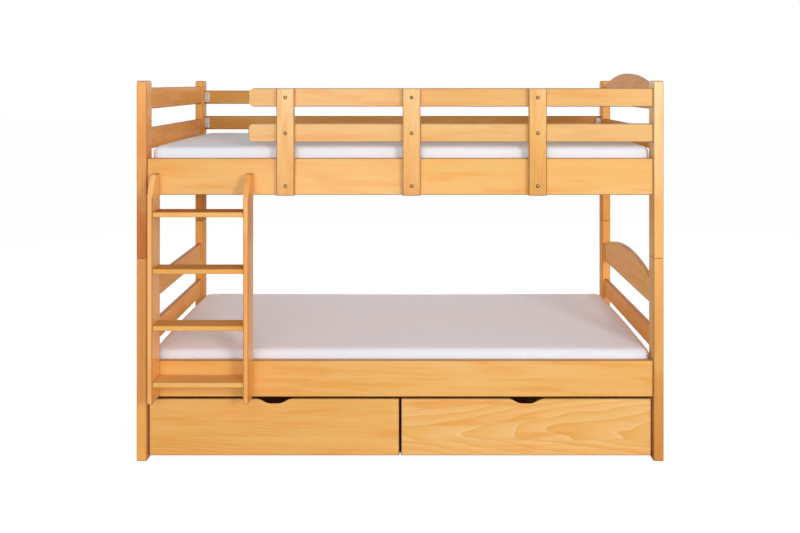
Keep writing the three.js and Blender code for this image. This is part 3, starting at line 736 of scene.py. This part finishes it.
def rounded_block(name, low, high, radius, materials, steps=4):
    """A block with round edges: each of a ball's eight parts is moved out to a corner, so a point
    is corner * (half - radius) + radius * direction."""
    low, high = np.array(low, float), np.array(high, float)
    middle, half = (low + high) / 2, (high - low) / 2 - radius
    quarter = np.linspace(0, np.pi / 2, steps + 1)
    turn = np.concatenate([quarter + k * np.pi / 2 for k in range(4)])
    sign_x = np.repeat([1, -1, -1, 1], steps + 1)
    sign_y = np.repeat([1, 1, -1, -1], steps + 1)
    rise = np.concatenate([quarter - np.pi / 2, quarter])
    sign_z = np.repeat([-1, 1], steps + 1)[:, None]
    flat = np.cos(rise)[:, None]
    x = sign_x * half[0] + radius * flat * np.cos(turn)
    y = sign_y * half[1] + radius * flat * np.sin(turn)
    z = sign_z * half[2] + radius * np.sin(rise)[:, None] + 0 * turn
    return closed_surface(name, middle + np.stack([x, y, z], axis=-1), materials)


print("surface helpers are ready")

# %% [markdown]
# ## Screws of the front guard
#
# Nine screws hold the guard's uprights to its rails and to the side rail. In the photograph each
# is a small pale head in a dark ring, about 14 mm across: a countersunk cup with a brassy head in
# it. The cup's near-black colour is painted shade, the shade round the head in its recess. One
# profile makes cup and head, and its rows say which is dark and which is bright.

# %% Brass and bronze
def metal(name, colour, roughness):
    """Metal with a faintly cloudy polish."""
    finish = Finish(name, Metallic=1.0)
    cloud = finish.cloud(finish.place(), 900.0, 3.0)
    tone = finish.blend(cloud, colour, tuple(0.8 * c for c in colour[:3]) + (1.0,))
    return finish.surface(tone, cloud * 0.2 + roughness, cloud, 0.00005, 0.2)


BRASS = metal("screw_brass", paint(236, 190, 124), 0.4)
# On the screws this near-black bronze is painted shade round the heads; the bolts show it as dark
# metal.
BRONZE_AND_PAINTED_SHADE = metal("screw_bronze_and_shade", paint(44, 24, 12), 0.6)

# %% Screws
CUP_AND_HEAD = [(0, 0), (7.0, 0), (7.0, 0.3), (6.6, 0.6), (4.1, 0.4), (4.0, 0.9), (3.5, 1.5),
                (2.4, 1.8), (1.5, 1.8), (1.4, 0.6), (0, 0.5)]
CUP_ROWS = [1, 1, 1, 1, 1, 0, 0, 0, 1, 1]
SOCKET_ROWS = (8, 9)
LOWEST_SCREW = 0.038


def screw(name, centre, outward):
    """A screw head in its cup."""
    piece = turned(name, centre, outward, CUP_AND_HEAD, [BRASS, BRONZE_AND_PAINTED_SHADE], CUP_ROWS, SOCKET_ROWS)
    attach(piece, "bed_frame")
    return piece


count = 0
for number in (1, 2, 3):
    low, high = corners(f"guard_upright_{number}")
    middle = (low[X_AXIS] + high[X_AXIS]) / 2
    heights = {"low": low[Z_AXIS] + LOWEST_SCREW}
    for place, node in (("middle", "guard_front_low_rail"), ("top", "guard_front_top_rail")):
        rail_low, rail_high = corners(node)
        heights[place] = (rail_low[Z_AXIS] + rail_high[Z_AXIS]) / 2
    for place, height in heights.items():
        screw(f"guard_screw_{number}_{place}", (middle, low[Y_AXIS], height), (0, -1, 0))
        count += 1
print(count, "guard screws")

# %% [markdown]
# ## Bed bolts
#
# The side rails are drawn to the posts by bolts, two at each joint, whose flat heads lie on the
# posts' outer faces. The photograph doesn't show that side, so their place is a guess: a quarter
# of the rail's height from its edges, in the middle of its thickness.

# %% Bolts
BOLT_HEAD = [(0, 0), (8.5, 0), (8.5, 0.7), (7.9, 1.4), (3.4, 1.7), (3.0, 1.6), (2.9, 0.5), (0, 0.4)]
BOLT_SOCKET_ROWS = (5, 6)
BOLT_SHARES = (0.25, 0.75)
RAIL_MIDDLE = 0.011

count = 0
for bed in BEDS:
    for face in ("front", "back"):
        rail_low, rail_high = corners(f"{bed}_{face}_rail")
        front = face == "front"
        depth = rail_low[Y_AXIS] + RAIL_MIDDLE if front else rail_high[Y_AXIS] - RAIL_MIDDLE
        for side, sign in zip(SIDES, (-1, 1)):
            post = corners(f"post_{bed}_{face}_{side}")
            outer = post[0][X_AXIS] if sign < 0 else post[1][X_AXIS]
            for number, share in enumerate(BOLT_SHARES, 1):
                height = rail_low[Z_AXIS] + share * (rail_high[Z_AXIS] - rail_low[Z_AXIS])
                piece = turned(f"bed_bolt_{bed}_{face}_{side}_{number}", (outer, depth, height),
                               (sign, 0, 0), BOLT_HEAD, [BRONZE_AND_PAINTED_SHADE], hexagon=BOLT_SOCKET_ROWS)
                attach(piece, "bed_frame")
                count += 1
print(count, "bed bolts")

# %% [markdown]
# ## Corner brackets
#
# White plastic blocks hold the back guard's rails to the posts, one in each inner corner. Each is a
# moulded block with a lid on its front, and the lid's greyer plastic is painted shade, the shade of
# a recess in the bracket's face.

# %% White plastic
def moulded(name, colour, roughness):
    """Moulded plastic: an even colour with a fine, soft grain."""
    finish = Finish(name, Coat_Weight=0.1)
    cloud = finish.cloud(finish.place(), 350.0, 2.0)
    darker = tuple(0.93 * c for c in colour[:3]) + (1.0,)
    shade = finish.blend(cloud, colour, darker)
    return finish.surface(shade, cloud * 0.1 + roughness, cloud, 0.0001, 0.15)


WHITE_PLASTIC = moulded("bracket_plastic", paint(238, 232, 226), 0.42)
# The lids' greyer plastic is painted shade, the shade of a recess in each bracket's face.
PAINTED_SHADE_PLASTIC = moulded("lid_plastic_painted_shade", paint(208, 200, 194), 0.5)
BRACKET_WIDTH, BRACKET_DEPTH, BRACKET_HEIGHT, BRACKET_ROUND = 0.025, 0.020, 0.048, 0.003
LID_INSET, LID_THICKNESS, LID_ROUND = 0.003, 0.0018, 0.0015

for rail in ("top", "low"):
    rail_low, rail_high = corners(f"guard_back_{rail}_rail")
    centre = (rail_low[Z_AXIS] + rail_high[Z_AXIS]) / 2
    for side, sign in zip(SIDES, (-1, 1)):
        wall = rail_low[X_AXIS] if sign < 0 else rail_high[X_AXIS]
        inner = wall - sign * BRACKET_WIDTH
        low = (min(wall, inner), rail_low[Y_AXIS] - BRACKET_DEPTH, centre - BRACKET_HEIGHT / 2)
        high = (max(wall, inner), rail_low[Y_AXIS], centre + BRACKET_HEIGHT / 2)
        block = rounded_block(f"bracket_{rail}_{side}", low, high, BRACKET_ROUND, [WHITE_PLASTIC])
        lid_low = (low[0] + LID_INSET, low[1] - LID_THICKNESS, low[2] + LID_INSET)
        lid_high = (high[0] - LID_INSET, low[1] + LID_THICKNESS, high[2] - LID_INSET)
        lid = rounded_block(f"bracket_lid_{rail}_{side}", lid_low, lid_high, LID_ROUND,
                            [PAINTED_SHADE_PLASTIC])
        for piece in (block, lid):
            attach(piece, "bed_frame")
print("four brackets with their lids")

# %% [markdown]
# ## Wheels
#
# The drawers roll on small black plastic wheels, which show only when a drawer is out.

# %% Black plastic
BLACK_PLASTIC = moulded("wheel_plastic", paint(52, 52, 55), 0.48)
wheels = [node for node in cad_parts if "_wheel_" in node]
for node in wheels:
    dress(node, BLACK_PLASTIC)
print(len(wheels), "wheels")

# %% [markdown]
# ## Studio
#
# The photograph was taken in a white studio: soft light from the front, a little stronger from the
# right, which gives the right posts their sheen and the ladder its soft shadows, and some from
# behind that falls on the lower mattress. The world is white to the camera and in reflections. As a
# light it is plainer, and weaker overhead than at the sides: strength falls from LOW_LIGHT to
# HIGH_LIGHT as the direction's z goes from LOW_SKY to HIGH_SKY. The floor is pale and shows white
# where nothing shades it, and its own share of light keeps the bed's shadow.

# %% Floor
WHITE = (1.0, 1.0, 1.0, 1.0)
FLOOR_GLOW = 0.91
FLOOR_SEEN = (0.22, 0.22, 0.22, 1)
# Painted shade: from this far inside the posts' outline the floor doesn't glow and shows dark.
UNDER_BED, PAST_BED = 0.09, 0.05


def floor_finish():
    """A pale matt floor. Seen by the camera it glows, so that bare floor is white and only shadow
    is darker. Under the bed, from UNDER_BED inside the posts' outline, it doesn't glow, which
    paints a dark shade in the shape of that outline, and for all other rays it is plain grey-white."""
    finish = Finish("floor", Roughness=0.9, Specular_IOR_Level=0.0)
    cloud = finish.cloud(finish.place(), 2.0, 3.0)
    finish.surface(finish.ramp(cloud, [(0.0, paint(200, 200, 200)), (1.0, paint(208, 208, 208))]))
    path = finish.node("ShaderNodeLightPath", output="Is Camera Ray")
    low, high = corners("post_lower_front_left")[0], corners("post_lower_back_right")[1]
    middle, half = (low + high) / 2, (high - low) / 2
    place = finish.split(finish.place(middle))
    past = [finish.step(place[axis].absolute(), half[axis] - UNDER_BED, half[axis] - PAST_BED)
            for axis in (X_AXIS, Y_AXIS)]
    strength = past[0].larger(past[1]) * FLOOR_GLOW
    dim = finish.node("ShaderNodeBsdfDiffuse", None, {"Color": FLOOR_SEEN})
    glow = finish.node("ShaderNodeEmission", None, {"Color": WHITE, "Strength": strength})
    seen = finish.node("ShaderNodeAddShader", None, [dim, glow])
    plain = Field(finish, finish.shader.outputs[0])
    mixed = finish.node("ShaderNodeMixShader", None, [path, plain, seen])
    out = finish.tree.nodes["Material Output"]
    finish.tree.links.new(mixed.socket, out.inputs["Surface"])
    return finish.material


FLOOR_HALF = 30.0
grid = np.array([[x, y, 0.0] for x in (-FLOOR_HALF, FLOOR_HALF) for y in (-FLOOR_HALF, FLOOR_HALF)])
floor_mesh = bpy.data.meshes.new("floor")
floor_mesh.from_pydata(grid.tolist(), [], [(0, 2, 3, 1)])
floor_mesh.materials.append(floor_finish())
floor = bpy.data.objects.new("floor", floor_mesh)
scene.collection.objects.link(floor)

# %% World and lamps
LOW_LIGHT, HIGH_LIGHT = 0.62, 0.22
LOW_SKY, HIGH_SKY = 0.15, 0.85

world = bpy.data.worlds.new("studio")
world.use_nodes = True
scene.world = world
tree = world.node_tree
tree.nodes.clear()
ray = tree.nodes.new("ShaderNodeLightPath")
white = tree.nodes.new("ShaderNodeBackground")
white.inputs["Strength"].default_value = 1.0
light = tree.nodes.new("ShaderNodeBackground")
for background in (white, light):
    background.inputs["Color"].default_value = WHITE
sky = tree.nodes.new("ShaderNodeTexCoord")
upward = tree.nodes.new("ShaderNodeSeparateXYZ")
fall = tree.nodes.new("ShaderNodeMapRange")
fall.interpolation_type = "SMOOTHSTEP"
for name, value in (("From Min", LOW_SKY), ("From Max", HIGH_SKY),
                    ("To Min", LOW_LIGHT), ("To Max", HIGH_LIGHT)):
    fall.inputs[name].default_value = value
tree.links.new(sky.outputs["Generated"], upward.inputs[0])
tree.links.new(upward.outputs["Z"], fall.inputs["Value"])
tree.links.new(fall.outputs["Result"], light.inputs["Strength"])
seen = ray.outputs["Is Camera Ray"]
for other in ("Is Glossy Ray", "Is Transmission Ray"):
    either = tree.nodes.new("ShaderNodeMath")
    either.operation = "MAXIMUM"
    tree.links.new(seen, either.inputs[0])
    tree.links.new(ray.outputs[other], either.inputs[1])
    seen = either.outputs[0]
mix = tree.nodes.new("ShaderNodeMixShader")
out = tree.nodes.new("ShaderNodeOutputWorld")
tree.links.new(seen, mix.inputs[0])
tree.links.new(light.outputs[0], mix.inputs[1])
tree.links.new(white.outputs[0], mix.inputs[2])
tree.links.new(mix.outputs[0], out.inputs["Surface"])


def softbox(name, place, target, width, height, watts, seen=True):
    """A rectangular lamp at a place that faces a target. Only a seen one shows in the lacquer."""
    lamp = bpy.data.lights.new(name, "AREA")
    lamp.shape = "RECTANGLE"
    lamp.size, lamp.size_y = width, height
    lamp.energy = watts
    box = bpy.data.objects.new(name, lamp)
    box.location = place
    aim = np.array(target, float) - np.array(place, float)
    heading = math.atan2(-aim[0], aim[1])
    pitch = math.atan2(aim[2], math.hypot(aim[0], aim[1]))
    box.rotation_euler = (LEVEL + pitch, 0, heading)
    box.visible_camera = False
    box.visible_glossy = seen
    scene.collection.objects.link(box)
    return box


MIDDLE = (0.0, 0.0, 0.8)
softbox("high_front_softbox", (-1.2, -5.4, 2.6), MIDDLE, 2.6, 2.0, 51.0)
softbox("low_front_softbox", (-0.74, -5.4, 1.13), MIDDLE, 1.65, 1.75, 35.5)
softbox("right_softbox", (3.3, -6.2, 2.5), MIDDLE, 1.5, 1.5, 155.0)
softbox("right_fill", (4.2, -2.0, 1.6), MIDDLE, 2.0, 2.0, 16.0, seen=False)
softbox("low_back_fill", (0.0, 4.2, 1.0), MIDDLE, 3.6, 1.2, 30.0, seen=False)
softbox("high_back_fill", (0.0, 4.2, 2.8), MIDDLE, 3.6, 1.6, 28.0, seen=False)
scene.view_settings.view_transform = "Standard"
print("studio is lit")
